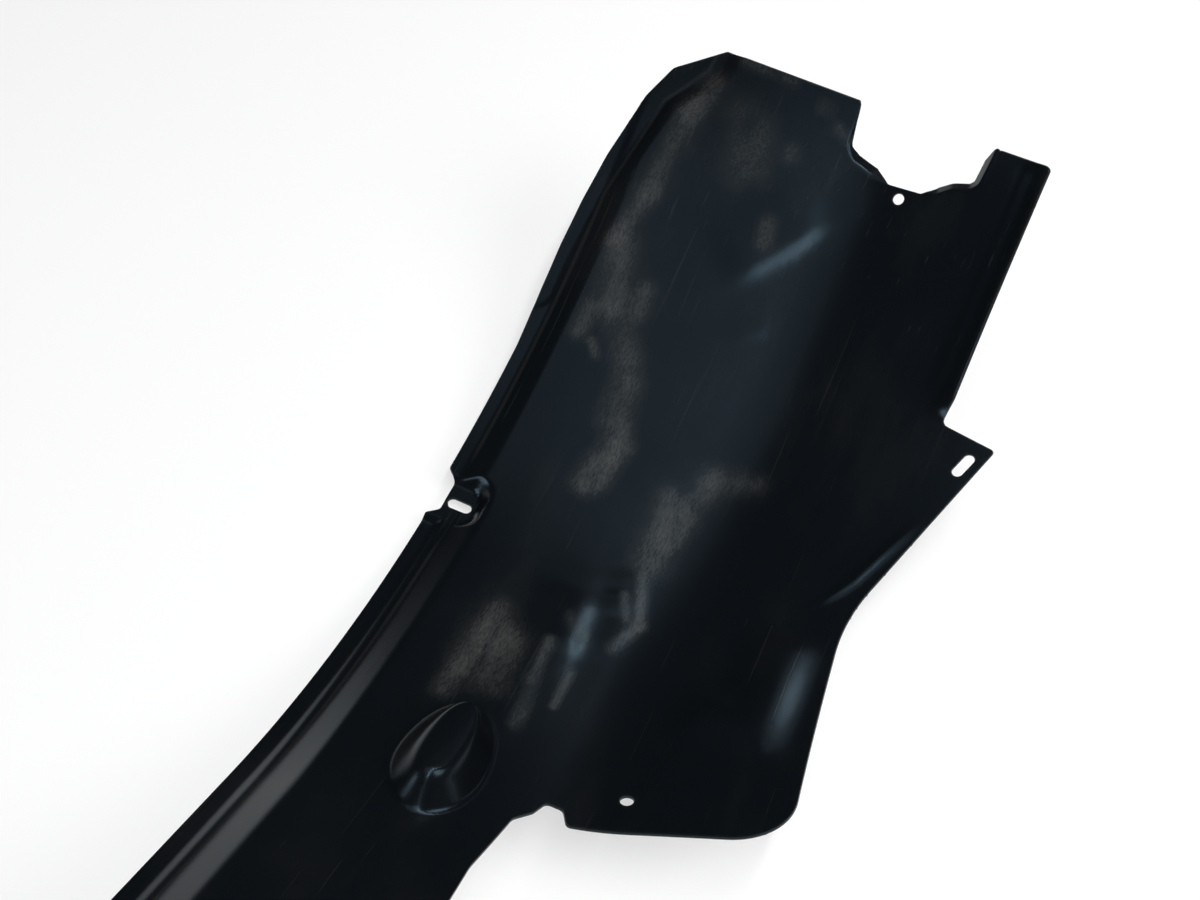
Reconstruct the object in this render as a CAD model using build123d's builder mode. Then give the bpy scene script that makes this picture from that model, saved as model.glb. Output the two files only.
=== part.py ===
from build123d import *
import math
import os

os.makedirs("parts", exist_ok=True)

# Wheel arch liner: one vacuum-formed sheet, laid down with its tyre side up.
# Places on it are (along, across). Along runs on the strip from under the axle,
# plus towards the top edge. Across is plus towards the outer lip.

# Sheet and arch
SHEET = 2.5
ARCH_R = 485.0           # axle to the tyre side of the strip
TOP = 400.0              # along, to the top edge
TURN = 30.0              # degrees of arch from under the axle to the straight tail
TAIL = 200.0             # length of the straight tail
TAIL_ROUND = 18.0        # corners of the tail's end
LIP = 95.0               # across, to the outer edge
SWELL = 3.5              # the outer edge stands out by this much in the upper part
SWELL_AT = 225.0
TAPER_AT = 350.0         # the upper corner of the outer edge
TAPER_IN = 12.5
BEVEL = 34.0             # width of the corner's bevel, across
BEVEL_L = 24.0           # its length, along

# Outer flange: it drops away from the tyre to lie behind the wing's edge
DROP = 8.0
FLANGE = 12.0            # width of the flange above the slot pad
STEP = 14.0              # width of its sloped step
TAIL_DROP = 17.0         # below the pad the flange lies deeper
TAIL_FLANGE = 11.0       # and has a ledge between flange and step
TAIL_LEDGE = 5.0
LEDGE_DROP = 13.0
TAIL_STEP = 20.0
STEP_ROUND = 4.0

# Towards the top the step's foot leans inwards, and it turns at the corner.
# These places are seen square on, at LEAN_AT.
LEAN_AT = 300.0
LEAN_SLOPE = 45.0        # degrees
LEAN_FROM = (190.0, 100.0)
LEAN_TO = (352.0, 67.0)
CORNER_TO = (383.0, 44.0)
CORNER_END = 38.0        # across, where the foot passes the top edge

# Inner wall: it rises towards the tyre behind a soft bend
BEND_AT = -72.0
BEND_R = 170.0
RISE = 18.0              # degrees
INNER = -210.0           # across, to the inner edge
RIM = 10.0               # turned-up rim at the inner edge
RIM_TURN = 30.0          # degrees

# Tab, waist and lobe on the inner side, and the slit that ends the bend
TAB_TOP = 192.0
TAB_TIP = (183.0, -249.0)
WAIST = (22.0, -198.0)
WAIST_R = 150.0
LOBE_SIDE = -212.0
LOBE_LOW = -166.0        # along, where its lower edge would meet its side
LOBE_R = 40.0
SLIT = 18.0
SLIT_TOP = -184.0
SLIT_DEEP = 11.0
TAIL_INNER = -55.0

# Notch in the top edge, with a shoulder on each side of its floor
NOTCH_AT = -71.0
NOTCH_W = 101.0
NOTCH_DEEP = 50.0
NOTCH_FLOOR = 22.0
NOTCH_LEAN = 6.0         # its sides lean in by this much
NOTCH_ROUND = 4.0
SHOULDER_DEEP = 35.0
SHOULDER_W = 21.0        # the shoulder nearer the lip
SHOULDER_SLANT = 14.0

# Fixing holes
HOLE = 8.0
HOLE_TOP = (343.0, -122.0)
HOLE_LOBE = (-162.0, -117.0)
SLOT_W = 7.5
SLOT_PAD = (9.0, 75.5)
SLOT_PAD_L = 17.5
SLOT_TAB = (165.0, -233.0)
SLOT_TAB_L = 20.0
SLOT_TAB_TURN = -20.0    # degrees, along the tab's lower edge

# Raised shapes
PAD_AT = 9.0
PAD_L = 29.0
PAD_IN = 64.0            # across, to the pad's inner end
PAD_LIP = 87.0           # across, to its outer edge
PAD_DROP = 12.0          # between the upper flange and the tail's
PAD_SLOPE = 35.0         # degrees
EGG = (-192.0, -8.0)     # its widest place
EGG_W = 54.0
EGG_BLUNT = 42.0
EGG_POINT = 54.0
EGG_H = 20.0
RIDGE = (-52.0, -168.0)
RIDGE_L = 98.0
RIDGE_W = 38.0
RIDGE_H = 9.0
RIDGE_ARM = 24.0         # how far the ridge's foot reaches towards the strip
RIDGE_ARM_L = 30.0
RIDGE_SLOPE = 35.0

ARC_LOW = ARCH_R * math.radians(TURN)
TAB_TURN = math.degrees((TAB_TOP + 6) / ARCH_R)
TOP_TURN = math.degrees(TOP / ARCH_R)
DEEP = ARCH_R + 60.0
AXLE = Axis((0, 0, 0), (0, -1, 0))
WALL_START = BEND_AT - BEND_R * math.sin(math.radians(RISE))
WALL_LIFT = BEND_R * (1 - math.cos(math.radians(RISE)))
LEDGE_AT = LIP - TAIL_FLANGE - TAIL_DROP + LEDGE_DROP
STEP_TOP = LIP - FLANGE - STEP

TAIL_LINE = [
    (LIP, ARCH_R + TAIL_DROP),
    (LIP - TAIL_FLANGE, ARCH_R + TAIL_DROP),
    (LEDGE_AT, ARCH_R + LEDGE_DROP),
    (LEDGE_AT - TAIL_LEDGE, ARCH_R + LEDGE_DROP),
    (LEDGE_AT - TAIL_LEDGE - TAIL_STEP, ARCH_R),
]
UPPER_LINE = [
    (LIP + SWELL + 2, ARCH_R + DROP),
    (LIP - FLANGE, ARCH_R + DROP),
    (STEP_TOP, ARCH_R),
]


def lift_at(across):
    """How far the inner wall stands above the strip."""
    if across > BEND_AT:
        return 0.0
    if across > WALL_START:
        return BEND_R - math.sqrt(BEND_R**2 - (BEND_AT - across) ** 2)
    return WALL_LIFT + (WALL_START - across) * math.tan(math.radians(RISE))


def tilt_at(across):
    """How steep the sheet is there, in degrees."""
    return math.degrees(math.asin(min(max(BEND_AT - across, 0.0) / BEND_R, math.sin(math.radians(RISE)))))


def spot(along, across, lift=0.0, tilt=0.0, turn=0.0):
    """Plane on the sheet: x along to the top, y across to the lip, z towards the axle."""
    angle = max(along, -ARC_LOW) / ARCH_R
    past = min(along + ARC_LOW, 0.0)
    out = ARCH_R - lift
    x = out * math.sin(angle) + past * math.cos(angle)
    z = past * math.sin(angle) - out * math.cos(angle)
    upwards = (math.cos(angle), 0, math.sin(angle))
    inwards = (-math.sin(angle), 0, math.cos(angle))
    return Plane(Plane((x, across, z), upwards, inwards).location * Rotation(-tilt, 0, turn))


def on_wall(place, turn=0.0):
    """Plane on the bend or the inner wall, tilted with it."""
    return spot(*place, lift_at(place[1]), tilt_at(place[1]), turn)


def flat(at, *places):
    """Places round one spot, as seen square on from the axle."""
    return [((ARCH_R - lift_at(across)) * math.sin((along - at) / ARCH_R), across) for along, across in places]


def cross_section(turn, line, edge, inset, rim=0.0):
    """All that lies behind the tyre side, cut through the axle: x across, y away from the axle."""
    angle = math.radians(turn)
    spare = 2 * inset
    first = (line[0][0] + spare, line[0][1])
    with BuildSketch(Plane((0, 0, 0), (0, 1, 0), (-math.cos(angle), 0, -math.sin(angle)))) as section:
        with BuildLine() as side:
            if edge > BEND_AT:
                FilletPolyline(first, *line[1:], (edge - spare, ARCH_R), radius=STEP_ROUND)
            else:
                strip = FilletPolyline(first, *line[1:], (BEND_AT, ARCH_R), radius=STEP_ROUND)
                bend = JernArc(strip @ 1, strip % 1, BEND_R, RISE)
                long = (WALL_START - edge - rim) / math.cos(math.radians(RISE))
                if rim:
                    wall = PolarLine(bend @ 1, long, direction=bend % 1)
                    PolarLine(wall @ 1, rim / math.cos(math.radians(RISE + RIM_TURN)) + spare,
                              direction=(wall % 1).rotate(Axis.Z, RIM_TURN))
                else:
                    PolarLine(bend @ 1, long + spare, direction=bend % 1)
            if inset:
                offset(amount=inset, side=Side.RIGHT, closed=False)
            ends = side.wires()[0].vertices().sort_by(Axis.X)
            inner, outer = ends[0], ends[-1]
            Polyline((inner.X, inner.Y), (inner.X, DEEP + spare), (outer.X, DEEP + spare), (outer.X, outer.Y))
        make_face()
    return section.sketch


def pad_shape(inset):
    """Outline of the slot pad's flat top, on a plane at its own height."""
    half = PAD_L / 2
    with BuildSketch(spot(PAD_AT, 0, -PAD_DROP - inset)) as top:
        with BuildLine():
            Polyline((-half, PAD_IN), (half, PAD_IN), (half, LIP + 40), (-half, LIP + 40), close=True)
        make_face()
        fillet(top.vertices().group_by(Axis.Y)[0], PAD_L / 4)
    return top.sketch


def lean_shape(inset):
    """Room above the flange where its step leans inwards and turns the top corner."""
    under = STEP / 2
    with BuildPart() as room:
        with BuildSketch(spot(LEAN_AT, 0, -DROP - inset - under)):
            with BuildLine():
                foot = flat(LEAN_AT, LEAN_FROM, LEAN_TO, CORNER_TO, (TOP + 20, CORNER_END))
                Polyline(*foot, (foot[-1][0], LIP + 60), (foot[0][0], LIP + 60), close=True)
            make_face()
            offset(amount=-under * math.tan(math.radians(LEAN_SLOPE)), kind=Kind.INTERSECTION)
        extrude(amount=40, dir=spot(LEAN_AT, 0).z_dir, taper=-LEAN_SLOPE)
        with BuildSketch(Plane.XZ):
            Circle(ARCH_R + DROP + inset)
        extrude(amount=-LIP - 50, mode=Mode.INTERSECT)
    return room.part


def egg_shape(inset):
    """Egg-shaped boss, blunt towards the tail, sunk until it stands as high as it should."""
    half = EGG_W / 2
    with BuildPart() as egg:
        place = spot(*EGG, EGG_H - half)
        with BuildSketch(place):
            with BuildLine():
                EllipticalCenterArc((0, 0), EGG_POINT - inset, half - inset, start_angle=0, arc_size=90)
                EllipticalCenterArc((0, 0), EGG_BLUNT - inset, half - inset, start_angle=90, arc_size=90)
                Line((inset - EGG_BLUNT, 0), (EGG_POINT - inset, 0))
            make_face()
        revolve(axis=Axis(place.origin, place.x_dir))
    return egg.part


def ridge_shape(inset):
    """L-shaped ridge on the lobe, round at its upper end."""
    low, high, side = -RIDGE_L / 2, RIDGE_L / 2, RIDGE_W / 2
    with BuildPart() as ridge:
        with BuildSketch(on_wall(RIDGE)) as outline:
            with BuildLine():
                Polyline(
                    (low, -side), (high, -side), (high, side), (low + RIDGE_ARM_L, side),
                    (low + RIDGE_ARM_L, side + RIDGE_ARM), (low, side + RIDGE_ARM), close=True,
                )
            make_face()
            fillet(outline.vertices().group_by(Axis.X)[-1], side * 0.95)
            fillet(outline.vertices().group_by(Axis.X)[0], RIDGE_ARM_L / 3)
            offset(amount=-inset)
        extrude(amount=RIDGE_H - inset, taper=RIDGE_SLOPE)
        extrude(outline.sketch, amount=-20)
    return ridge.part


def behind(inset):
    """Everything behind the tyre side, with that side moved back by the inset."""
    spare = 2 * inset
    end_turn = TOP_TURN + math.degrees(spare / ARCH_R)
    rim_turn = TAB_TURN + math.degrees(inset / ARCH_R)
    with BuildPart() as body:
        tail = cross_section(-TURN, TAIL_LINE, TAIL_INNER, inset)
        extrude(tail, amount=TAIL + spare, dir=spot(-ARC_LOW, 0).x_dir * -1)
        lower = cross_section(-TURN, TAIL_LINE, LOBE_SIDE - 4, inset)
        revolve(lower, axis=AXLE, revolution_arc=TURN)
        middle = cross_section(0, UPPER_LINE, TAB_TIP[1] - 6, inset)
        revolve(middle, axis=AXLE, revolution_arc=rim_turn)
        upper = cross_section(rim_turn, UPPER_LINE, INNER, inset, RIM)
        revolve(upper, axis=AXLE, revolution_arc=end_turn - rim_turn)
        extrude(pad_shape(inset), amount=30, dir=spot(PAD_AT, 0).z_dir, taper=-PAD_SLOPE, mode=Mode.SUBTRACT)
        extrude(pad_shape(inset), amount=15, dir=spot(PAD_AT, 0).z_dir * -1, taper=-PAD_SLOPE)
        add(lean_shape(inset), mode=Mode.SUBTRACT)
        add(egg_shape(inset))
        add(ridge_shape(inset))
    return body.part


def waist_side(along):
    """The lobe's inner edge, across, as a straight line from the waist."""
    share = (along - WAIST[0]) / (LOBE_LOW - WAIST[0])
    return WAIST[1] + share * (LOBE_SIDE - WAIST[1])


with BuildPart() as liner:
    add(behind(0))
    add(behind(SHEET), mode=Mode.SUBTRACT)

    # fixing holes, square to the sheet
    for place in (HOLE_TOP, HOLE_LOBE):
        with BuildSketch(on_wall(place)):
            Circle(HOLE / 2)
        extrude(amount=10, both=True, mode=Mode.SUBTRACT)
    with BuildSketch(spot(*SLOT_PAD, -PAD_DROP, turn=90)):
        SlotOverall(SLOT_PAD_L, SLOT_W)
    extrude(amount=12, both=True, mode=Mode.SUBTRACT)
    with BuildSketch(on_wall(SLOT_TAB, SLOT_TAB_TURN)):
        SlotOverall(SLOT_TAB_L, SLOT_W)
    extrude(amount=10, both=True, mode=Mode.SUBTRACT)

    # outer edge: swelling, corner and bevel
    with BuildSketch(spot(TAPER_AT, 0)):
        with BuildLine():
            straight = Polyline(*flat(TAPER_AT, (0, LIP), (SWELL_AT - 85, LIP)))
            low, high = flat(TAPER_AT, (SWELL_AT, LIP + SWELL), (TAPER_AT, LIP - TAPER_IN))
            swell = Spline(straight @ 1, low, high, tangents=[(1, 0), (1, -0.25)])
            bevel = flat(TAPER_AT, (TOP - BEVEL_L, LIP - 2 * TAPER_IN), (TOP, LIP - 2 * TAPER_IN - BEVEL))
            run = (bevel[1][0] - bevel[0][0], bevel[1][1] - bevel[0][1])
            Polyline(swell @ 1, bevel[0], (bevel[1][0] + run[0], bevel[1][1] + run[1]),
                     (bevel[1][0] + run[0], LIP + 60), ((straight @ 0).X, LIP + 60), straight @ 0)
        make_face()
    extrude(amount=180, both=True, mode=Mode.SUBTRACT)
    # outer edge at the pad, which stands back
    with BuildSketch(spot(PAD_AT, LIP)) as gap:
        back = PAD_LIP - LIP
        with BuildLine():
            Polyline(
                (-2 * PAD_L, 0), (-PAD_L / 2, 0), (back, back), (PAD_L / 2, back),
                (PAD_L / 2 - back, 0), (2 * PAD_L, 0), (2 * PAD_L, 60), (-2 * PAD_L, 60), close=True,
            )
        make_face()
        fillet(gap.vertices().group_by(Axis.Y)[0], PAD_L / 8)
    extrude(amount=60, both=True, mode=Mode.SUBTRACT)

    # notch in the top edge
    near = NOTCH_LEAN + SHOULDER_W
    floor_at = near + SHOULDER_SLANT
    far = floor_at + NOTCH_FLOOR + SHOULDER_SLANT
    with BuildSketch(spot(TOP, NOTCH_AT)):
        with BuildLine():
            sides = FilletPolyline(
                (SHOULDER_DEEP, NOTCH_LEAN), (-SHOULDER_DEEP, -NOTCH_LEAN), (-SHOULDER_DEEP, -near),
                (-NOTCH_DEEP, -floor_at), (-NOTCH_DEEP, -floor_at - NOTCH_FLOOR), (-SHOULDER_DEEP, -far),
                (-SHOULDER_DEEP, NOTCH_LEAN - NOTCH_W), (SHOULDER_DEEP, -NOTCH_LEAN - NOTCH_W),
                radius=NOTCH_ROUND,
            )
            Line(sides @ 1, sides @ 0)
        make_face()
    extrude(amount=120, both=True, mode=Mode.SUBTRACT)

    # tab and waist
    at = TAB_TOP / 2
    overlap = (-40, waist_side(-40))
    with BuildSketch(spot(at, 0)) as tab:
        with BuildLine():
            edge = flat(at, (TAB_TOP + 9, INNER), (TAB_TOP, INNER), TAB_TIP, WAIST, overlap)
            Polyline(*edge, (edge[-1][0], -320), (edge[0][0], -320), close=True)
        make_face()
        fillet(tab.vertices().sort_by_distance((edge[3][0], edge[3][1], 0))[0], WAIST_R)
        fillet(tab.vertices().sort_by_distance((edge[1][0], edge[1][1], 0))[0], 4)
    extrude(amount=140, both=True, mode=Mode.SUBTRACT)

    # lobe, slit and the tail's inner edge
    at = LOBE_LOW / 2
    with BuildSketch(spot(at, 0)) as lobe:
        with BuildLine():
            slit = TAIL_INNER - SLIT
            edge = flat(
                at, (-20, waist_side(-20)), (LOBE_LOW, LOBE_SIDE), (SLIT_TOP - SLIT_DEEP, slit - SLIT),
                (SLIT_TOP, slit - SLIT + 6), (SLIT_TOP, slit - 2), (SLIT_TOP - SLIT_DEEP, slit + 2),
                (SLIT_TOP - 2 * SLIT_DEEP, TAIL_INNER - 7), (-ARC_LOW, TAIL_INNER), (-ARC_LOW - 9, TAIL_INNER),
            )
            Polyline(*edge, (edge[-1][0], -320), (edge[0][0], -320), close=True)
        make_face()
        fillet(lobe.vertices().sort_by_distance((edge[1][0], edge[1][1], 0))[0], LOBE_R)
    extrude(amount=140, both=True, mode=Mode.SUBTRACT)

    # round corners of the tail's end
    with BuildSketch(spot(-ARC_LOW - TAIL, (LIP + TAIL_INNER) / 2)):
        Rectangle(2 * TAIL_ROUND, 2 * LIP)
        with Locations((TAIL / 2, 0)):
            RectangleRounded(TAIL, LIP - TAIL_INNER, TAIL_ROUND, mode=Mode.SUBTRACT)
    extrude(amount=30, both=True, mode=Mode.SUBTRACT)

# It rests on the flange and on the start of the bend, turned about the axle
# until its weight hangs straight under it.
weight = liner.part.center(CenterOf.MASS)
swing = math.degrees(math.atan2(weight.X, -weight.Z))
roll = math.degrees(math.atan2(TAIL_DROP, LIP - TAIL_FLANGE - BEND_AT))
resting = liner.part.rotate(Axis.Y, swing).rotate(Axis.X, roll)
box = resting.bounding_box()
resting = resting.translate((-box.center().X, -box.center().Y, -box.min.Z))
resting.label = "liner"
export_step(resting, "parts/liner.step")
print("swing", swing, "roll", roll, "moved", -box.center().X, -box.center().Y, -box.min.Z)
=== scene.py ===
import math

import bpy
import numpy as np
from mathutils import Matrix, Vector
from mathutils.geometry import delaunay_2d_cdt


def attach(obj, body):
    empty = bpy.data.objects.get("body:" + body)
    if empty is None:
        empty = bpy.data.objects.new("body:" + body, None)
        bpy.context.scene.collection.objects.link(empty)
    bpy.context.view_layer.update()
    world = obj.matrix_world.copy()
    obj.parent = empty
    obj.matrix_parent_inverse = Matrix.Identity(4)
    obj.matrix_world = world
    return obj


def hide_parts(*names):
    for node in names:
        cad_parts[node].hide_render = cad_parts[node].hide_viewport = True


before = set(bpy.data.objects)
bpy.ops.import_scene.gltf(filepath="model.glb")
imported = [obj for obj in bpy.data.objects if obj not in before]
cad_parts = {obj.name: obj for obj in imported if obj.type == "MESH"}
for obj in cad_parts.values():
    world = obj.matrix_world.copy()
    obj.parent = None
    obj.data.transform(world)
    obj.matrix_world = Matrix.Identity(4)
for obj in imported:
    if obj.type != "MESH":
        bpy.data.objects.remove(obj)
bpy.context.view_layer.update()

bl_info = {
    "name": "Wheel arch liner",
    "version": (1, 0, 0),
    "blender": (4, 5, 0),
    "location": "View3D > Sidebar > Liner",
    "description": "Builds a vacuum-formed wheel arch liner and its studio",
    "category": "Object",
}

# The liner's lengths are in millimetres until place() turns them into metres.
# A place on the sheet is (along, across): along the strip from under the axle, plus to the top
# edge, and across it, plus to the outer lip. Lift is how far the sheet stands towards the axle.

# The arch: radius, arc from under the axle to the straight tail, both ends, both long edges
ARCH_R = 485.0
ARC_LOW = ARCH_R * math.radians(30)
TOP = 400.0
TAIL_END = -ARC_LOW - 200.0
LIP = 95.0
INNER = -210.0

# The inner wall: where its bend begins, the bend's radius, the wall's slope and start, and its rim
BEND_AT = -72.0
BEND_R = 170.0
WALL_RISE = math.radians(18)
WALL_START = BEND_AT - BEND_R * math.sin(WALL_RISE)
RIM_START = -200.0
RIM_RISE = math.radians(48)
RIM_GROWS = (192.0, 212.0)

# How the liner lies: turned about the axle, then rolled onto its flange, then set down
SWING = math.radians(2.17438)
ROLL = math.radians(6.21923)
SEAT = (42.9546, 26.9789, 493.4461)

# Flange profiles: (across, lift). The tail's profile turns into the upper one between two places along
UPPER_PROFILE = ((69, 0), (83, -8))
UPPER_FOOT, UPPER_FLANGE = UPPER_PROFILE[-1]
TAIL_PROFILE = ((55, 0), (75, -13), (80, -13), (84, -17))
TAIL_FOOT = 75.5
TAIL_TURNS = (2, 12)
TAIL_UP_TO = 4.0

# The leaning step: its foot, where it begins, where the foot is laid flat, a lift above all near it
LEAN_FOOT = ((190, 100), (352, 67), (383, 44), (420, 38))
LEAN_FROM = 150.0
LEAN_AT = 300.0
OUT_OF_REACH = 50.0

# The slotted pad: lowest and highest corner, corner radius, how far its sides lean from upright
PAD_LOW = (-5.5, 64.0)
PAD_HIGH = (23.5, 150.0)
PAD_CORNER = 9.0
PAD_LEAN = math.radians(35)
PAD_MIDDLE = (PAD_LOW[0] + PAD_HIGH[0]) / 2

# The egg: centre, half length, how much it adds ahead and takes off behind, half width, slope of its
# sides, girth, and its top: how far that passes the set height, and where along and across it is 1 lower
EGG_AT = (-192.0, -8.0)
EGG_LONG = 48.0
EGG_BLUNT = 6.0
EGG_WIDE = 27.0
EGG_SLOPE = math.radians(55)
EGG_GIRTH = 240.0
EGG_PROUD = 0.8
EGG_DOME = (40.0, 13.0)

# The ridge: centre, then lowest corner, highest corner and corner radius of its stem and arm,
# how far outside and inside them its sides rise, and twice its crown's radius
RIDGE_AT = (-52.0, -168.0)
RIDGE_STEM = ((-49, -19), (49, 19), 16)
RIDGE_ARM = ((-49, -19), (-19, 43), 10)
RIDGE_SIDE = (-14.0, 19.0)
RIDGE_CROWN = 910.0

# The rolled line and the crescent: where they run, half width, height, where they fade in and out
LINE_AT = -198.0
LINE_WIDE = 4.0
LINE_HIGH = 1.7
LINE_IN = (205, 235)
LINE_OUT = (400, 390)
CRESCENT = ((20, -174), (37, -185), (52, -194), (74, -203), (116, -221))
CRESCENT_WIDE = 3.4
CRESCENT_HIGH = 1.4
CRESCENT_IN = (22, 44)
CRESCENT_OUT = (116, 70)

# Holes and slots: centre, length, width, turn in the sheet, slope of the sheet there
HOLES = (
    ((343, -122), 8, 8, 0.0, math.radians(17)),
    ((-162, -117), 8, 8, 0.0, math.radians(15)),
    ((9, 75.5), 17.5, 7.5, math.radians(90), 0.0),
    ((165, -233), 20, 7.5, math.radians(-20), WALL_RISE),
)
ROUND_END_STEPS = 12

# The sheet's edge: (along, across, corner radius)
OUTLINE = (
    (TAIL_END, LIP, 18), (-5.5, LIP, 4), (1, 87, 4), (23.5, 87, 4), (31.5, LIP, 3), (140, LIP, 90),
    (190, 97.6, 120), (225, 98.5, 120), (262, 97.2, 120), (300, 93.2, 120), (350, 82.5, 40),
    (376, 70, 9), (TOP, 36, 3), (TOP, -70.5, 2), (366, -72, 10), (357, -81, 12), (351.5, -97, 14),
    (349.5, -112, 14), (350.5, -135, 8), (353, -146, 9), (360, -155, 6), (363.5, -166.5, 9),
    (370, -172, 10), (390, -173.4, 6), (TOP, -173.5, 3), (TOP, INNER, 4), (192, INNER, 5),
    (183, -249, 3), (22, -198, 150), (-166, -212, 40), (-195, -91, 4), (-184, -85, 4), (-184, -75, 4),
    (-195, -71, 5), (-206, -62, 8), (-ARC_LOW, -55, 40), (TAIL_END, -55, 18),
)

# The notch's lips turn away from the tyre: angle, bend radius, rows of points, then place and depth
LIP_TURN = math.radians(50)
LIP_BEND = 3.0
LIP_ROWS = 8
NOTCH_LIPS = (
    ((TOP, -174), 0.3), ((397, -173.5), 3.2), ((390, -173.4), 7.9), ((370, -172), 7.9),
    ((363.5, -166.5), 7.9), ((360, -155), 7.9), ((353.5, -146), 8.5), ((350.6, -137), 0.3),
    ((349.6, -111), 0.3), ((351.5, -97), 8.5), ((357, -81), 7.5), ((366, -72), 3.5), ((385, -71), 0.8),
    ((TOP - 2, -70.5), 0.05),
)

# The mesh: how far its points reach across and past the top edge, and from where its lines lie closer
MESH_LOW = -252.0
MESH_CLOSER = 44.0
MESH_HIGH = 102.0
MESH_PAST = 8.0

# Shares of the pitch: between the closer lines, and clear of the egg's rings and of the edges
CLOSER_LINES = 0.55
CLEAR_OF_RINGS = 0.45
CLEAR_OF_EDGES = 0.4

# Most that an arc turns between two points, the egg's rings as shares inside its foot, and what is too
# small to keep: a step between two points of a slot, a distance in the plan, and a triangle's area
ARC_STEP = 0.3
RING_INSETS = (0.02, 0.05, 0.09, 0.14, 0.20, 0.27)
SAME_POINT = 0.05
MERGE = 1e-5
SLIVER = 1e-6

# Where the mesh is twice as fine: (along, across) of the lowest and highest corner
FINE = (
    ((-246, -46), (-124, 30)), ((-24, 52), (44, 98)), ((-146, -86), (16, -18)),
    ((20, -222), (116, -172)), ((200, -206), (402, -192)), ((342, -180), (402, -62)),
)

# The sheet's edge: its rounding as a share of the thickness, and the angle from which an edge is sharp
EDGE_ROUND = 0.14
SHARP_FROM = math.radians(38)

# Puckers: start, end, half width towards the inner wall and away from it, share of the set height
PUCKERS = (
    ((-58, -22), (-146, -29), 9, 18, 0.65), ((-48, -38), (-122, -46), 8, 14, 0.55),
    ((-18, -33), (-78, -36), 12, 26, 1.75), ((14, -56), (-28, -69), 9, 16, 0.55),
    ((-28, -69), (-58, -60), 8, 14, 0.5), ((-7, -52), (-30, -61), 6, 10, 0.35),
    ((238, -22), (320, -85), 12, 34, 1.8), ((205, -47), (223, -74), 7, 14, 0.35),
    ((60, -30), (120, -52), 24, 24, 0.5),
)

# What is left of a pucker's height at its ends, and the share of its length that tapers
TAPER_TO = 0.25
TAPER_RUN = 0.3

# The waviness: its share of the same height, and where across it fades towards the wall and the step
WAVINESS = 0.22
WAVY_FROM_WALL = (-190, -120)
WAVY_FROM_STEP = (64, 40)

# Scuffed, dusty places on the tyre side, and warm patches of painted sheen (a painted reflection of warm
# light): start, end, half width, strength
SCUFFS_AND_SHEEN = (
    ((104, -2), (57, 2), 8, 1.0), ((95, -12), (60, -6), 7, 0.7), ((71, -61), (20, -64), 11, 0.8),
    ((63, -73), (43, -69), 8, 0.8), ((100, -80), (83, -79), 9, 0.45), ((9, -63), (-28, -76), 3.5, 0.8),
    ((-11, -58), (-28, -66), 3, 0.6), ((-28, -76), (-53, -66), 4, 0.8), ((-45, -35), (-53, -43), 5, 0.55),
    ((-84, -50), (-113, -50), 2.5, 0.7), ((-68, -28), (-101, -31), 3.5, 0.8),
    ((-101, -31), (-138, -35), 4.5, 0.8), ((-61, 12), (-75, 10), 9, 0.5),
    ((-82, 6), (-108, 6), 15, 1.0), ((-110, 12), (-135, 17), 7, 0.6),
    ((-83, -6), (-117, -11), 8, 0.5), ((240, 53), (199, 43), 11, 0.75), ((199, 43), (158, 14), 10, 0.75),
    ((187, 55), (165, 56), 6, 0.8), ((214, 23), (194, 22), 7, 0.6), ((162, 44), (153, 36), 3, 0.7),
    ((141, 7), (112, 4), 10, 0.9), ((375, 35), (349, 44), 8, 0.7), ((349, 44), (284, 50), 8, 0.7),
    ((284, 50), (240, 60), 7, 0.6), ((359, 5), (322, -7), 14, 0.3), ((355, -12), (327, -20), 10, 0.25),
    ((349, -38), (345, -38), 6, 0.5), ((293, -41), (278, -44), 6, 0.6), ((106, -107), (95, -76), 9, 0.4),
    ((387, -47), (384, -49), 5, 0.35), ((376, -62), (371, -70), 4, 0.35), ((398, 20), (396, -20), 4, 0.35),
)

# How worn the sheet is beside its edge, which itself counts as 1
WORN_BESIDE_EDGE = 0.2

# The studio, in metres: the floor's side and how far it lies below the liner
FLOOR_SIDE = 24.0
FLOOR_DROP = 0.0005

# Lamps, in metres: name, shape, place, what it points at, width and depth, then power in watts
LAMPS = (
    ("key", "ELLIPSE", (0.5, -2.3, 2.0), (0.0, 0.0, 0.0), (1.8, 1.8), 50.0),
    ("fill", "ELLIPSE", (-2.0, 2.3, 1.3), (0.0, 0.0, 0.0), (1.8, 1.8), 50.0),
    ("overhead", "ELLIPSE", (0.1, -0.06, 1.6), (0.1, -0.06, 0.0), (2.0, 1.0), 4.5),
    ("strip", "ELLIPSE", (2.4, -0.15, 1.6), (2.4, -0.15, 0.0), (3.0, 0.55), 3.0),
    ("tube", "RECTANGLE", (0.4, -0.45, 1.58), (0.4, -0.45, 0.0), (3.0, 0.12), 24.0),
)

# The camera in the axle's own frame: its place in metres, its right and up, and its sensor in millimetres
CAMERA_AT = (-0.501370, -0.152792, 0.382235)
CAMERA_RIGHT = Vector((0.396317, -0.912050, 0.105344))
CAMERA_UP = Vector((0.729356, 0.382449, 0.567250))
SENSOR = 36.0


def millimetres(value):
    return value * 1000


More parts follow.
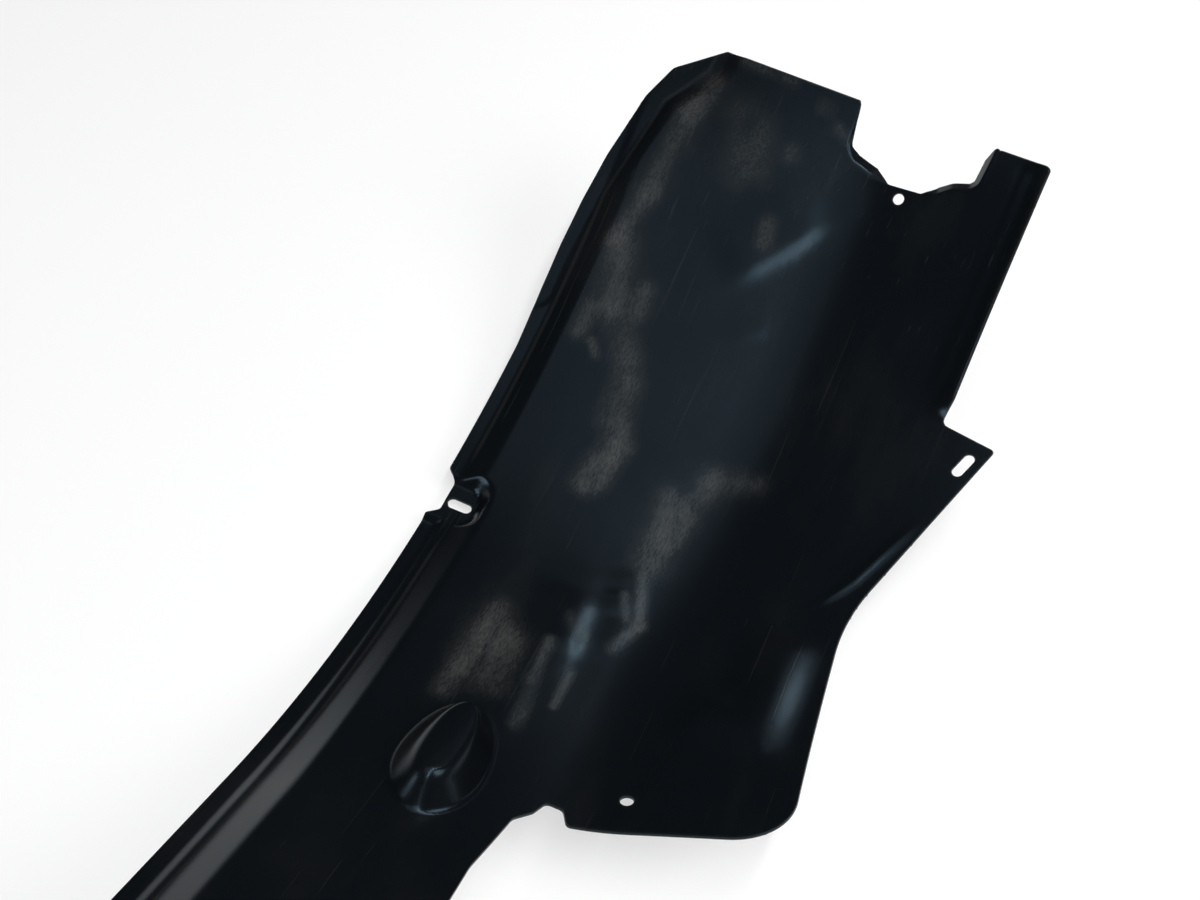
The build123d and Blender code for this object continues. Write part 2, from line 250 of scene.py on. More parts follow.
class LinerSettings(bpy.types.PropertyGroup):
    """Sizes and colours of the liner."""

    sheet: bpy.props.FloatProperty(
        name="Sheet", description="Thickness of the plastic sheet", default=0.0025, min=0.001, unit="LENGTH"
    )
    pitch: bpy.props.FloatProperty(
        name="Mesh pitch", description="Distance between points of the mesh",
        default=0.003, min=0.002, unit="LENGTH",
    )
    egg_height: bpy.props.FloatProperty(
        name="Egg height", description="How far the egg-shaped boss stands up",
        default=0.020, min=0.0, unit="LENGTH",
    )
    ridge_height: bpy.props.FloatProperty(
        name="Ridge height", description="How far the L-shaped ridge stands up",
        default=0.007, min=0.0, unit="LENGTH",
    )
    pad_drop: bpy.props.FloatProperty(
        name="Pad depth", description="How far the slotted pad lies below the strip",
        default=0.012, unit="LENGTH",
    )
    pucker: bpy.props.FloatProperty(
        name="Puckers", description="Height of the puckers from forming",
        default=0.0012, min=0.0, unit="LENGTH",
    )
    plastic: bpy.props.FloatVectorProperty(
        name="Plastic", description="Colour of the black plastic", default=(0.0026, 0.0033, 0.0043),
        subtype="COLOR", min=0.0, max=1.0,
    )
    # The colour of dust and scuffs, also painted for the warm sheen and for the highlight line at the
    # step's foot
    dust_and_sheen_colour: bpy.props.FloatVectorProperty(
        name="Scuffs", description="Colour of dust and of scuffed plastic", default=(0.105, 0.100, 0.092),
        subtype="COLOR", min=0.0, max=1.0,
    )


class StageSettings(bpy.types.PropertyGroup):
    """Floor, lights and camera."""

    floor: bpy.props.FloatVectorProperty(
        name="Floor", description="Colour of the floor", default=(0.9, 0.9, 0.9),
        subtype="COLOR", min=0.0, max=1.0,
    )
    white: bpy.props.FloatProperty(
        name="White", description="How white the floor shows to the camera", default=0.6, min=0.0, max=1.0
    )
    world: bpy.props.FloatVectorProperty(
        name="Room", description="Light from all round", default=(0.055, 0.058, 0.062),
        subtype="COLOR", min=0.0, max=1.0,
    )
    lens: bpy.props.FloatProperty(
        name="Lens", description="Focal length of the camera", default=44.334, min=10.0, unit="CAMERA"
    )


# Shape of the sheet


def ramp(value, low, high):
    return np.clip((value - low) / (high - low), 0.0, 1.0)


def soft(share):
    return share * share * (3 - 2 * share)


def soft_max(a, b, width):
    """The larger of the two, with the corner between them rounded."""
    share = np.clip(0.5 + 0.5 * (a - b) / width, 0.0, 1.0)
    return b + (a - b) * share + width * share * (1 - share)


def soft_min(a, b, width):
    return -soft_max(-a, -b, width)


def profile(points, across, rounding=2.5):
    """Height along a cross-section of straight runs with rounded corners."""
    places, heights = zip(*points)
    shifts = np.linspace(-rounding, rounding, 7)
    return sum(np.interp(across + shift, places, heights) for shift in shifts) / len(shifts)


def to_segment(along, across, start, end):
    """Distance to a straight run, and how far along it the nearest point lies, from 0 to 1."""
    run = np.subtract(end, start)
    share = np.clip(((along - start[0]) * run[0] + (across - start[1]) * run[1]) / (run @ run), 0.0, 1.0)
    return np.hypot(along - start[0] - share * run[0], across - start[1] - share * run[1]), share


def to_path(along, across, path):
    """Distance to the nearest of a row of straight runs."""
    return np.min([to_segment(along, across, a, b)[0] for a, b in zip(path, path[1:])], axis=0)


def rounded_box(along, across, low, high, radius):
    """Signed distance to a rectangle with round corners, minus inside."""
    mid = np.add(low, high) / 2
    half = np.subtract(high, low) / 2 - radius
    dx = np.abs(along - mid[0]) - half[0]
    dy = np.abs(across - mid[1]) - half[1]
    return np.hypot(np.maximum(dx, 0), np.maximum(dy, 0)) + np.minimum(np.maximum(dx, dy), 0) - radius


def wall_lift(along, across):
    """The bend, the inner wall and its turned-up rim."""
    inside = np.clip(BEND_AT - across, 0.0, BEND_AT - WALL_START)
    bend = BEND_R - np.sqrt(BEND_R**2 - inside**2)
    wall = np.maximum(WALL_START - across, 0.0) * math.tan(WALL_RISE)
    past = RIM_START - across
    turned = (past + np.sqrt(past**2 + 4.0)) / 2
    rim = turned * (math.tan(RIM_RISE) - math.tan(WALL_RISE)) * soft(ramp(along, *RIM_GROWS))
    return bend + wall + rim


def lean_away(along, across):
    """Distance outwards from the foot of the leaning step."""
    flat_along = ARCH_R * np.sin((along - LEAN_AT) / ARCH_R)
    foot = [(ARCH_R * math.sin((a - LEAN_AT) / ARCH_R), b) for a, b in LEAN_FOOT]
    border = np.interp(flat_along, *zip(*foot))
    near = to_path(flat_along, across, foot)
    return np.where(across > border, near, -near)


def step_away(along, across):
    """Distance outwards from the foot of the step between strip and flange."""
    upper = across - UPPER_FOOT
    upper = np.where(along > LEAN_FROM, np.maximum(lean_away(along, across), upper), upper)
    return np.where(along < TAIL_UP_TO, across - TAIL_FOOT, upper)


def lean_lift(along, across):
    """Height of the leaning step: it runs inwards towards the top edge and turns at the corner."""
    outside = lean_away(along, across)
    sunk = (ARCH_R - UPPER_FLANGE) * (1 - np.cos((along - LEAN_AT) / ARCH_R))
    height = UPPER_FLANGE - outside - sunk
    return np.where(along > LEAN_FROM, height, OUT_OF_REACH)


def flange_lift(along, across, pad_drop):
    """The strip, its two flanges and the slotted pad between them."""
    upper = profile(UPPER_PROFILE, across)
    leaning = soft_max(lean_lift(along, across), np.full_like(along, UPPER_FLANGE), width=2.0)
    upper = soft_min(upper, leaning, width=2.0)
    tail = profile(TAIL_PROFILE, across)
    lift = tail + (upper - tail) * soft(ramp(along, *TAIL_TURNS))
    outside = np.maximum(rounded_box(along, across, PAD_LOW, PAD_HIGH, PAD_CORNER), 0.0)
    climb = outside / math.tan(PAD_LEAN)
    lift = soft_max(lift, -pad_drop - climb, width=3.0)
    return soft_min(lift, -pad_drop + climb, width=3.0)


def egg_lift(along, across, height):
    """Egg-shaped boss with steep sides and a flatter top, blunt towards the tail."""
    ahead = along - EGG_AT[0]
    aside = across - EGG_AT[1]
    long = EGG_LONG + EGG_BLUNT * np.tanh(ahead / 20)
    out = np.hypot(ahead / long, aside / EGG_WIDE)
    steepness = np.hypot(ahead / long**2, aside / EGG_WIDE**2) / np.maximum(out, 0.05)
    side = (1 - out) / np.maximum(steepness, 1e-3) * math.tan(EGG_SLOPE)
    top = height + EGG_PROUD - (ahead / EGG_DOME[0]) ** 2 - (aside / EGG_DOME[1]) ** 2
    return soft_min(side, top, width=5.0)


def ridge_lift(along, across, height):
    """L-shaped ridge on the lobe, highest at its middle, with soft sides."""
    x = along - RIDGE_AT[0]
    y = (across - RIDGE_AT[1]) / math.cos(WALL_RISE)
    inside = -np.minimum(rounded_box(x, y, *RIDGE_STEM), rounded_box(x, y, *RIDGE_ARM))
    return soft(ramp(inside, *RIDGE_SIDE)) * np.maximum(height - x * x / RIDGE_CROWN, 0.0)


def bead_lift(along, across):
    """Rolled line at the foot of the inner rim, and a crescent above the waist."""
    line = LINE_HIGH * np.exp(-(((across - LINE_AT) / LINE_WIDE) ** 2))
    line = line * soft(ramp(along, *LINE_IN)) * soft(ramp(along, *LINE_OUT))
    crescent = CRESCENT_HIGH * np.exp(-((to_path(along, across, CRESCENT) / CRESCENT_WIDE) ** 2))
    return line + crescent * soft(ramp(along, *CRESCENT_IN)) * soft(ramp(along, *CRESCENT_OUT))


def fold_lift(along, across, start, end, steep, gentle):
    """One pucker of height 1 with tapered ends: steep towards the inner wall, gentle away from it."""
    away, share = to_segment(along, across, start, end)
    run = np.subtract(end, start)
    side = ((along - start[0]) * run[1] - (across - start[1]) * run[0]) / np.hypot(*run) * np.sign(run[0])
    width = gentle + (steep - gentle) * np.clip(0.5 + 0.5 * side / np.maximum(away, 1e-6), 0.0, 1.0)
    full = soft(ramp(share, 0.0, TAPER_RUN)) * soft(ramp(1 - share, 0.0, TAPER_RUN))
    taper = TAPER_TO + (1 - TAPER_TO) * full
    return taper * np.exp(-((away / width) ** 2))


def pucker_lift(along, across, height):
    """Shallow puckers left by the forming, and a slight waviness."""
    lift = np.zeros_like(along)
    for *fold, share in PUCKERS:
        lift += height * share * fold_lift(along, across, *fold)
    waves = (
        np.sin(along / 61 + 0.6) * np.sin(across / 39 + 1.1) + 0.6 * np.sin(along / 33 + across / 47 + 2.0)
        + 0.5 * np.sin(along / 27 - across / 24)
    )
    return lift + WAVINESS * height * waves * ramp(across, *WAVY_FROM_WALL) * ramp(across, *WAVY_FROM_STEP)


def sheet_lift(along, across, sizes):
    """Lift of the tyre side anywhere on the sheet."""
    lift = flange_lift(along, across, millimetres(sizes.pad_drop)) + wall_lift(along, across)
    lift = soft_max(lift, egg_lift(along, across, millimetres(sizes.egg_height)), width=2.5)
    lift = lift + ridge_lift(along, across, millimetres(sizes.ridge_height)) + bead_lift(along, across)
    return lift + pucker_lift(along, across, millimetres(sizes.pucker))


def rest_matrix():
    """From the axle's own frame, in metres, to how the liner lies."""
    seat = Matrix.Translation([value / 1000 for value in SEAT])
    return seat @ Matrix.Rotation(ROLL, 4, "X") @ Matrix.Rotation(SWING, 4, "Y")


def place(along, across, lift):
    """Points of the sheet in the frame, in metres."""
    angle = np.maximum(along, -ARC_LOW) / ARCH_R
    past = np.minimum(along + ARC_LOW, 0.0)
    out = ARCH_R - lift
    x = out * np.sin(angle) + past * np.cos(angle)
    z = past * np.sin(angle) - out * np.cos(angle)
    rest = np.array(rest_matrix())
    return np.stack([x, across, z], axis=1) / 1000 @ rest[:3, :3].T + rest[:3, 3]


def sheet_points(plan, sizes):
    """Tyre-side points and their normals, which point towards the axle."""
    along, across = plan.T
    step = 0.25

    def at(da, db):
        return place(along + da, across + db, sheet_lift(along + da, across + db, sizes))

    normals = np.cross(at(step, 0) - at(-step, 0), at(0, step) - at(0, -step))
    normals /= np.linalg.norm(normals, axis=1)[:, None]
    return at(0, 0), normals


# Mesh of the sheet


def rounded_loop(corners, pitch):
    """Points round a closed outline of straight runs and arcs."""
    loop = []
    count = len(corners)
    for index, (x, y, radius) in enumerate(corners):
        corner = Vector((x, y))
        back = (Vector(corners[index - 1][:2]) - corner).normalized()
        on = (Vector(corners[(index + 1) % count][:2]) - corner).normalized()
        half = back.angle(on) / 2
        reach = radius / math.tan(half)
        centre = corner + (back + on).normalized() * radius / math.sin(half)
        start = corner + back * reach - centre
        turn = start.angle_signed(corner + on * reach - centre)
        steps = max(2, round(abs(turn) * radius / pitch), round(abs(turn) / ARC_STEP))
        loop += [centre + Matrix.Rotation(-turn * k / steps, 2) @ start for k in range(steps + 1)]
    filled = []
    for index, point in enumerate(loop):
        following = loop[(index + 1) % len(loop)]
        steps = max(1, round((following - point).length / pitch))
        filled += [point.lerp(following, k / steps) for k in range(steps)]
    return np.array(filled)


def slot_loop(centre, long, wide, turn, tilt):
    """A round-ended slot, or a hole where long equals wide."""
    reach = (long - wide) / 2
    points = []
    for side in (1, -1):
        for k in range(ROUND_END_STEPS + 1):
            angle = math.radians(-90 + 180 / ROUND_END_STEPS * k)
            x = side * (reach + wide / 2 * math.cos(angle))
            y = side * wide / 2 * math.sin(angle)
            points.append((x, y))
    x, y = np.array(points).T
    along = x * math.cos(turn) - y * math.sin(turn)
    across = (x * math.sin(turn) + y * math.cos(turn)) * math.cos(tilt)
    loop = np.stack([centre[0] + along, centre[1] + across], axis=1)
    return loop[np.linalg.norm(loop - np.roll(loop, 1, axis=0), axis=1) > SAME_POINT]


def inside_loop(points, loop):
    """Which points lie inside a closed loop."""
    x, y = points.T[:, :, None]
    (ax, ay), (bx, by) = loop.T, np.roll(loop, -1, axis=0).T
    crosses = (ay > y) != (by > y)
    with np.errstate(divide="ignore", invalid="ignore"):
        left = x < (bx - ax) * (y - ay) / (by - ay) + ax
    return np.logical_and(crosses, left).sum(axis=1) % 2 == 1


def clear_of(points, loops, gap):
    """Which points lie further than the gap from every loop point."""
    border = np.concatenate(loops)
    return np.array([np.min(np.sum((border - point) ** 2, axis=1)) > gap * gap for point in points])


def egg_rings(pitch):
    """Rings of points just inside the foot of the egg, which hold its edge."""
    rings = []
    for inset in RING_INSETS:
        size = math.sqrt(1 - inset)
        angles = np.linspace(0, 2 * math.pi, round(EGG_GIRTH * size / pitch), endpoint=False)
        long = np.where(np.cos(angles) > 0, EGG_LONG + EGG_BLUNT, EGG_LONG - EGG_BLUNT)
        along = EGG_AT[0] + long * size * np.cos(angles)
        across = EGG_AT[1] + EGG_WIDE * size * np.sin(angles)
        rings.append(np.stack([along, across], axis=1))
    return np.concatenate(rings)


def point_grid(rows, lines):
    """Every place on the given rows and lines."""
    return np.stack(np.meshgrid(rows, lines), axis=-1).reshape(-1, 2)


def sheet_plan(pitch):
    """Flat triangles of the sheet with its holes, in (along, across)."""
    loops = [rounded_loop(OUTLINE, pitch)] + [slot_loop(*hole) for hole in HOLES]
    wide_lines = np.arange(MESH_LOW, MESH_CLOSER, pitch)
    close_lines = np.arange(MESH_CLOSER, MESH_HIGH, pitch * CLOSER_LINES)
    rows = np.arange(TAIL_END, TOP + MESH_PAST, pitch)
    grid = point_grid(rows, np.concatenate([wide_lines, close_lines]))
    for low, high in FINE:
        grid = grid[~np.all((grid > low) & (grid < high), axis=1)]
    half = pitch / 2
    fine = [point_grid(*(np.arange(a, b, half) for a, b in zip(low, high))) for low, high in FINE]
    rings = egg_rings(half)
    grid = np.concatenate([grid, *fine])
    grid = np.concatenate([rings, grid[clear_of(grid, [rings], CLEAR_OF_RINGS * half)]])
    grid = grid[inside_loop(grid, loops[0])]
    for loop in loops[1:]:
        grid = grid[~inside_loop(grid, loop)]
    grid = grid[clear_of(grid, loops, CLEAR_OF_EDGES * pitch)]
    points, edges = [], []
    for loop in loops:
        first = len(points)
        points += loop.tolist()
        edges += [(first + k, first + (k + 1) % len(loop)) for k in range(len(loop))]
    points += grid.tolist()
    result = delaunay_2d_cdt([Vector(point) for point in points], edges, [], 0, MERGE)
    plan = np.array([tuple(point) for point in result[0]])
    faces = np.array(result[2])
    middles = plan[faces].mean(axis=1)
    kept = inside_loop(middles, loops[0])
    for loop in loops[1:]:
        kept &= ~inside_loop(middles, loop)
    a, b, c = plan[faces].transpose(1, 0, 2)
    area = (b - a)[:, 0] * (c - a)[:, 1] - (b - a)[:, 1] * (c - a)[:, 0]
    faces = np.where((area < 0)[:, None], faces[:, ::-1], faces)[kept & (np.abs(area) > SLIVER)]
    used, faces = np.unique(faces, return_inverse=True)
    return plan[used], faces.reshape(-1, 3)


def border_edges(faces):
    """Edges that only one triangle has, in its own direction."""
    edges = np.concatenate([faces[:, (0, 1)], faces[:, (1, 2)], faces[:, (2, 0)]])
    _, where, times = np.unique(np.sort(edges, axis=1), axis=0, return_inverse=True, return_counts=True)
    return edges[times[where.reshape(-1)] == 1]


def add_lips(plan, front, normals, faces):
    """Turns the sides of the notch away from the tyre: rows of points added past its border."""
    following = dict(border_edges(faces).tolist())
    border = np.array(list(following))
    stops = [border[np.argmin(np.sum((plan[border] - point) ** 2, axis=1))] for point, _ in NOTCH_LIPS]
    chain = [stops[0]]
    while chain[-1] != stops[-1]:
        chain.append(following[chain[-1]])
    base, up = front[chain], normals[chain]
    along = np.gradient(base, axis=0)
    out = np.cross(along, up)
    out /= np.linalg.norm(out, axis=1)[:, None]
    steps = np.concatenate([[0], np.cumsum(np.linalg.norm(np.diff(base, axis=0), axis=1))])
    depth = np.interp(steps, steps[[chain.index(stop) for stop in stops]], [deep for _, deep in NOTCH_LIPS])
    bent = LIP_BEND * LIP_TURN
    low = LIP_BEND * (1 - math.cos(LIP_TURN))
    reach = np.where(
        depth < low,
        LIP_BEND * np.arccos(np.maximum(1 - depth / LIP_BEND, -1.0)),
        bent + (depth - low) / math.sin(LIP_TURN),
    )
    rows = [np.array(chain)]
    for row in range(1, LIP_ROWS + 1):
        run = reach * row / LIP_ROWS
        turn = np.minimum(run / LIP_BEND, LIP_TURN)[:, None]
        straight = np.maximum(run - bent, 0.0)[:, None]
        ahead = LIP_BEND * np.sin(turn) + straight * np.cos(turn)
        drop = LIP_BEND * (1 - np.cos(turn)) + straight * np.sin(turn)
        rows.append(len(front) + np.arange(len(chain)))
        front = np.concatenate([front, base + (out * ahead - up * drop) / 1000])
        normals = np.concatenate([normals, up * np.cos(turn) + out * np.sin(turn)])
        plan = np.concatenate([plan, plan[chain]])
    strips = [faces]
    for near, far in zip(rows, rows[1:]):
        strips.append(np.stack([near[1:], near[:-1], far[:-1]], axis=1))
        strips.append(np.stack([near[1:], far[:-1], far[1:]], axis=1))
    return plan, front, normals, np.concatenate(strips)


def scuff_and_sheen_share(along, across):
    """Share of scuffs and dust, and of painted warm sheen, on the tyre side, from 0 to 1."""
    total = np.zeros_like(along)
    for start, end, width, strength in SCUFFS_AND_SHEEN:
        away, _ = to_segment(along, across, start, end)
        total += strength * np.exp(-((away / width) ** 2))
    return np.minimum(total, 1.0)


def paint(mesh, name, values):
    """Stores one number or one vector for each point of a mesh."""
    vector = values.ndim == 2
    layer = mesh.attributes.new(name, "FLOAT_VECTOR" if vector else "FLOAT", "POINT")
    layer.data.foreach_set("vector" if vector else "value", values.astype(np.float32).ravel())


def build_sheet(sizes):
    """One closed mesh: tyre side, back, and a slightly rounded edge between them."""
    plan, faces = sheet_plan(millimetres(sizes.pitch))
    front, normals = sheet_points(plan, sizes)
    plan, front, normals, faces = add_lips(plan, front, normals, faces)
    back = front - normals * sizes.sheet
    edges = border_edges(faces)
    count = len(plan)
    outwards = np.zeros_like(front)
    for start, end in edges:
        side = np.cross(front[end] - front[start], normals[start])
        outwards[[start, end]] += side / np.linalg.norm(side)
    rim = np.unique(edges)
    outwards[rim] /= np.linalg.norm(outwards[rim], axis=1)[:, None]
    round_off = sizes.sheet * EDGE_ROUND
    middle = (front[rim] + back[rim]) / 2
    front[rim] -= outwards[rim] * round_off
    back[rim] -= outwards[rim] * round_off
    vertices = np.concatenate([front, back, middle])
    ring = np.full(count, -1)
    ring[rim] = 2 * count + np.arange(len(rim))
    polygons = faces.tolist() + (faces[:, ::-1] + count).tolist()
    for start, end in edges:
        polygons.append((end, start, ring[start], ring[end]))
        polygons.append((ring[end], ring[start], start + count, end + count))
    mesh = bpy.data.meshes.new("liner_sheet")
    mesh.from_pydata(vertices.tolist(), [], [[int(k) for k in polygon] for polygon in polygons])
    everywhere = np.concatenate([plan, plan, plan[rim]])
    # Scuffs and dust, and the painted warm sheen, on the tyre side only
    scuffs_and_sheen = scuff_and_sheen_share(*everywhere.T)
    scuffs_and_sheen[count:] = 0.0
    worn = np.zeros(len(everywhere))
    worn[rim] = WORN_BESIDE_EDGE
    worn[rim + count] = WORN_BESIDE_EDGE
    worn[2 * count:] = 1.0
    # Distance from the step's foot, kept in the third place of sheet_place to paint a pale highlight line
    # along that foot
    away = step_away(*everywhere.T)
    paint(mesh, "sheet_place", np.column_stack([everywhere, away]) / 1000)
    paint(mesh, "scuffs_and_sheen", scuffs_and_sheen)
    paint(mesh, "worn_edge", worn)
    mesh.update()
    mesh.shade_smooth()
    mesh.set_sharp_from_angle(angle=SHARP_FROM)
    return bpy.data.objects.new("liner_sheet", mesh)


# Finishes


class Wire:
    """A node's output that Python sums can be written with."""

    def __init__(self, finish, socket):
        self.finish = finish
        self.socket = socket

    def math(self, operation, *others):
        return self.finish.add("ShaderNodeMath", {"operation": operation}, [self, *others])

    def __add__(self, other):
        return self.math("ADD", other)

    def __radd__(self, other):
        return self.math("ADD", other)

    def __sub__(self, other):
        return self.math("SUBTRACT", other)

    def __rsub__(self, other):
        return self.finish.add("ShaderNodeMath", {"operation": "SUBTRACT"}, [other, self])

    def __mul__(self, other):
        return self.math("MULTIPLY", other)

    def __rmul__(self, other):
        return self.math("MULTIPLY", other)


class Finish:
    """A material with its node tree, and the one method that adds a node to it."""

    def __init__(self, name):
        self.material = bpy.data.materials.new(name)
        self.material.use_nodes = True
        self.tree = self.material.node_tree
        self.shader = self.tree.nodes["Principled BSDF"]

    def add(self, kind, settings=None, inputs=(), output=0):
        """Adds a node, sets it up, then sets or links its sockets. Returns one output."""
        node = self.tree.nodes.new(kind)
        for name, value in (settings or {}).items():
            setattr(node, name, value)
        pairs = inputs.items() if isinstance(inputs, dict) else enumerate(inputs)
        for key, value in pairs:
            self.put(node.inputs[key], value)
        return Wire(self, node.outputs[output])

    def put(self, socket, value):
        """Links a wire to a socket, or sets the socket's own value."""
        if isinstance(value, Wire):
            self.tree.links.new(value.socket, socket)
        else:
            socket.default_value = value

    def set(self, **values):
        """Links or sets the shader's own sockets by name."""
        for name, value in values.items():
            self.put(self.shader.inputs[name.replace("_", " ").title()], value)

    def position(self):
        """Place on the object in its own frame, in metres."""
        return self.add("ShaderNodeTexCoord", output="Object")

    def noise(self, place, scale, detail, roughness, stretch=(1, 1, 1), turn=0.0):
        """Noise from 0 to 1, stretched, and turned about the third axis."""
        turned = {"Vector": place, "Rotation": (0, 0, turn), "Scale": stretch}
        moved = self.add("ShaderNodeMapping", inputs=turned)
        sizes = {"Vector": moved, "Scale": scale, "Detail": detail, "Roughness": roughness}
        return self.add("ShaderNodeTexNoise", inputs=sizes)

    def band(self, value, low, high, start=0.0, end=1.0):
        """Eases from start to end as the value goes from low to high."""
        eased = {"interpolation_type": "SMOOTHSTEP"}
        return self.add("ShaderNodeMapRange", eased, [value, low, high, start, end])

    def mix(self, share, first, second):
        """Blends two colours."""
        colours = {0: share, 6: first, 7: second}
        return self.add("ShaderNodeMix", {"data_type": "RGBA"}, colours, output=2)

    def layer(self, name, output="Fac"):
        """What is painted on the mesh's points."""
        return self.add("ShaderNodeAttribute", {"attribute_name": name}, output=output)


def plastic_finish(sizes):
    """Satin black plastic with a fine grain, dusty scuffed patches partly painted as warm sheen, a painted
    highlight line at the step's foot, and fine scratches.
    """
    finish = Finish("black_plastic")
    spot = finish.position()
    sheet = finish.layer("sheet_place", "Vector")
    grain = finish.noise(spot, 1100, 2.0, 0.6)
    broad = finish.noise(spot, 9, 3.0, 0.5)
    cloud = finish.band(finish.noise(sheet, 34, 4.0, 0.62, (0.6, 1.3, 1)), 0.30, 0.62)
    hatch = finish.band(finish.noise(sheet, 800, 3.0, 0.7, (0.3, 1, 1), 0.25), 0.36, 0.68)
    # Scuffs and dust, with warm patches of painted sheen standing in for a reflection of warm light
    scuff_and_sheen = (finish.layer("scuffs_and_sheen") * (0.25 + 0.75 * cloud) * (0.3 + 0.7 * hatch)).math("MINIMUM", 1.0)
    scratch = finish.band(finish.noise(sheet, 150, 2.0, 0.5, (0.05, 2.2, 1), 0.4), 0.66, 0.74)
    haze = finish.band(finish.noise(sheet, 14, 4.0, 0.6, (0.6, 1.4, 1)), 0.45, 0.80)
    # Painted highlight: a pale line along the foot of the step between strip and flange, kept off the
    # slotted pad
    away = finish.add("ShaderNodeSeparateXYZ", inputs=[sheet], output="Z")
    along = finish.add("ShaderNodeSeparateXYZ", inputs=[sheet], output="X")
    off_pad = finish.band((along - PAD_MIDDLE / 1000).math("ABSOLUTE"), 0.024, 0.050)
    foot = finish.band(away.math("ABSOLUTE"), 0.0004, 0.0022, 1.0, 0.0) * (0.4 + 0.6 * broad) * off_pad
    # Dust, scuffs, scratches, haze and edge wear, together with the painted warm sheen and the painted
    # highlight line, mixed into the colour
    dust_and_painted_light = scuff_and_sheen * 0.5 + scratch * 0.05 + haze * 0.025 + foot * 0.08 + finish.layer("worn_edge") * 0.12
    colour = finish.mix(dust_and_painted_light.math("MINIMUM", 1.0), (*sizes.plastic, 1), (*sizes.dust_and_sheen_colour, 1))
    roughness = 0.17 + 0.06 * broad + 0.05 * grain + 0.25 * scuff_and_sheen
    height = grain * 0.00006 + finish.noise(spot, 420, 2.0, 0.5) * 0.00005 - scratch * 0.00002
    bump = finish.add("ShaderNodeBump", inputs={"Strength": 0.6, "Distance": 1.0, "Height": height})
    finish.set(base_color=colour, roughness=roughness, normal=bump, metallic=0.0)
    finish.set(specular_tint=(0.50, 0.78, 1.0, 1.0))
    finish.shader.inputs["Specular IOR Level"].default_value = 0.2
    return finish.material


def floor_finish(stage):
    """Pale floor that shows as white, with the shadows kept."""
    finish = Finish("studio_floor")
    finish.set(base_color=(*stage.floor, 1), roughness=0.9)
    finish.shader.inputs["Specular IOR Level"].default_value = 0.1
    seen = finish.add("ShaderNodeLightPath", output="Is Camera Ray")
    for ray in ("Is Glossy Ray", "Is Transmission Ray"):
        seen = seen.math("MAXIMUM", finish.add("ShaderNodeLightPath", output=ray))
    white = finish.add("ShaderNodeEmission", inputs={"Strength": 1.0})
    lit = Wire(finish, finish.shader.outputs[0])
    both = finish.add("ShaderNodeMixShader", inputs=[seen * stage.white, lit, white])
    finish.put(finish.tree.nodes["Material Output"].inputs["Surface"], both)
    return finish.material


class LINER_OT_sheet(bpy.types.Operator):
    """Build the formed plastic sheet in place of the plain solid"""

    bl_idname = "liner.sheet"
    bl_label = "Liner sheet"

    def execute(self, context):
        sizes = context.scene.liner_settings
        sheet = build_sheet(sizes)
        context.scene.collection.objects.link(sheet)
        sheet.data.materials.append(plastic_finish(sizes))
        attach(sheet, "root")
        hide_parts("liner")
        return {"FINISHED"}


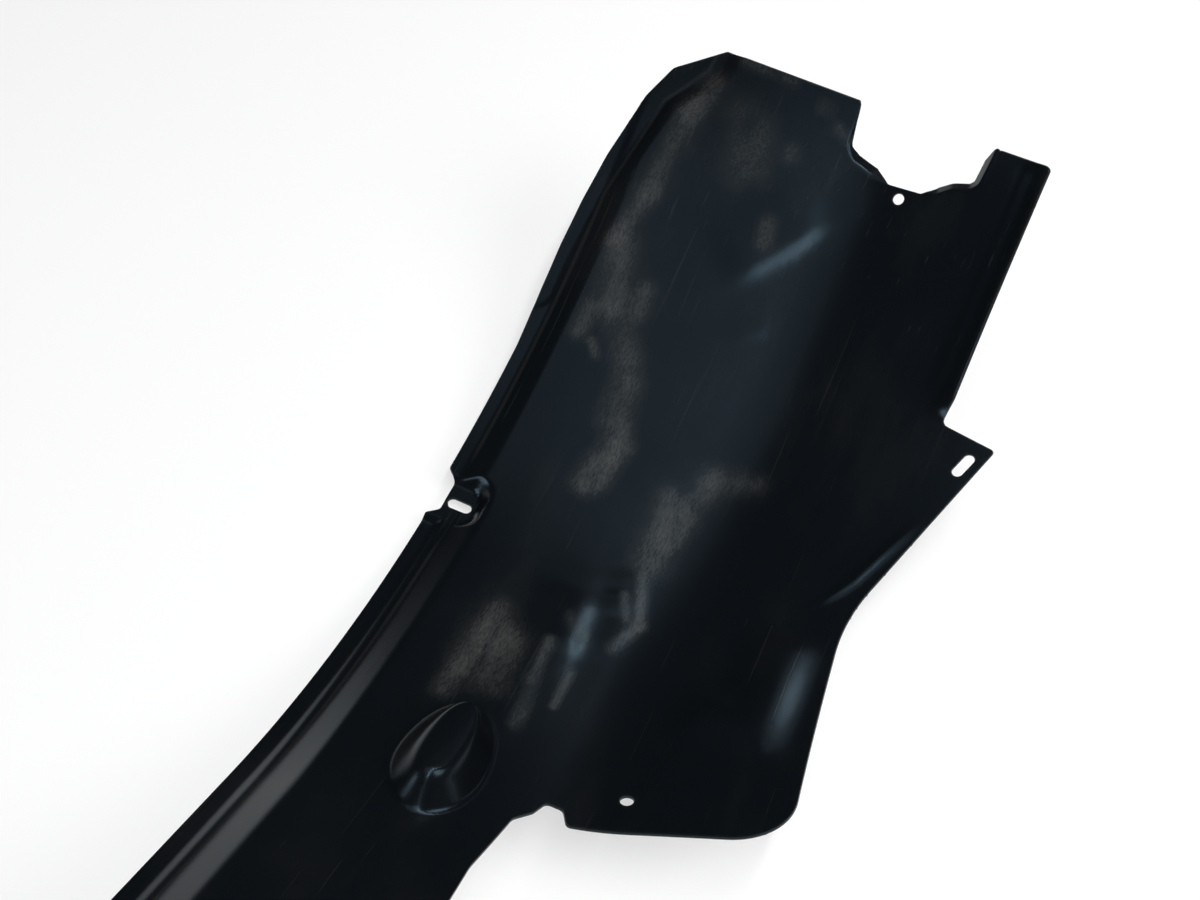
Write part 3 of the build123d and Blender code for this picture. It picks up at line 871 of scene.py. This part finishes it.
class LINER_OT_stage(bpy.types.Operator):
    """Set up the floor, the soft lights and the camera"""

    bl_idname = "liner.stage"
    bl_label = "Studio"

    def execute(self, context):
        stage = context.scene.liner_stage
        self.add_floor(context, stage)
        self.add_lights(context, stage)
        self.add_camera(context, stage)
        context.scene.view_settings.view_transform = "Standard"
        return {"FINISHED"}

    def add_floor(self, context, stage):
        mesh = bpy.data.meshes.new("floor")
        half = FLOOR_SIDE / 2
        corners = [(-half, -half, 0), (half, -half, 0), (half, half, 0), (-half, half, 0)]
        mesh.from_pydata(corners, [], [(0, 1, 2, 3)])
        floor = bpy.data.objects.new("floor", mesh)
        floor.location.z = -FLOOR_DROP
        context.scene.collection.objects.link(floor)
        mesh.materials.append(floor_finish(stage))

    def add_lights(self, context, stage):
        world = bpy.data.worlds.new("room")
        world.use_nodes = True
        world.node_tree.nodes["Background"].inputs["Color"].default_value = (*stage.world, 1)
        context.scene.world = world
        for name, shape, spot, aim, (wide, deep), power in LAMPS:
            lamp = bpy.data.lights.new(name, "AREA")
            lamp.shape = shape
            lamp.size = wide
            lamp.size_y = deep
            lamp.energy = power
            light = bpy.data.objects.new(name, lamp)
            light.location = spot
            light.rotation_euler = (Vector(aim) - Vector(spot)).to_track_quat("-Z", "Y").to_euler()
            context.scene.collection.objects.link(light)

    def add_camera(self, context, stage):
        lens = bpy.data.cameras.new("camera")
        lens.lens = stage.lens
        lens.sensor_width = SENSOR
        camera = bpy.data.objects.new("camera", lens)
        axes = Matrix((CAMERA_RIGHT, CAMERA_UP, CAMERA_RIGHT.cross(CAMERA_UP)))
        turned = axes.transposed().to_4x4()
        camera.matrix_world = rest_matrix() @ Matrix.Translation(CAMERA_AT) @ turned
        context.scene.collection.objects.link(camera)
        context.scene.camera = camera


class LINER_PT_panel(bpy.types.Panel):
    """Sizes, colours and the build buttons"""

    bl_idname = "LINER_PT_panel"
    bl_label = "Wheel arch liner"
    bl_space_type = "VIEW_3D"
    bl_region_type = "UI"
    bl_category = "Liner"

    def draw(self, context):
        layout = self.layout
        for settings in (context.scene.liner_settings, context.scene.liner_stage):
            for name in settings.__annotations__:
                layout.prop(settings, name)
        layout.operator(LINER_OT_sheet.bl_idname)
        layout.operator(LINER_OT_stage.bl_idname)


CLASSES = (LinerSettings, StageSettings, LINER_OT_sheet, LINER_OT_stage, LINER_PT_panel)


def register():
    for cls in CLASSES:
        bpy.utils.register_class(cls)
    bpy.types.Scene.liner_settings = bpy.props.PointerProperty(type=LinerSettings)
    bpy.types.Scene.liner_stage = bpy.props.PointerProperty(type=StageSettings)


def unregister():
    del bpy.types.Scene.liner_settings
    del bpy.types.Scene.liner_stage
    for cls in reversed(CLASSES):
        bpy.utils.unregister_class(cls)


def main():
    register()
    bpy.ops.liner.sheet()
    bpy.ops.liner.stage()


if __name__ == "__main__":
    main()
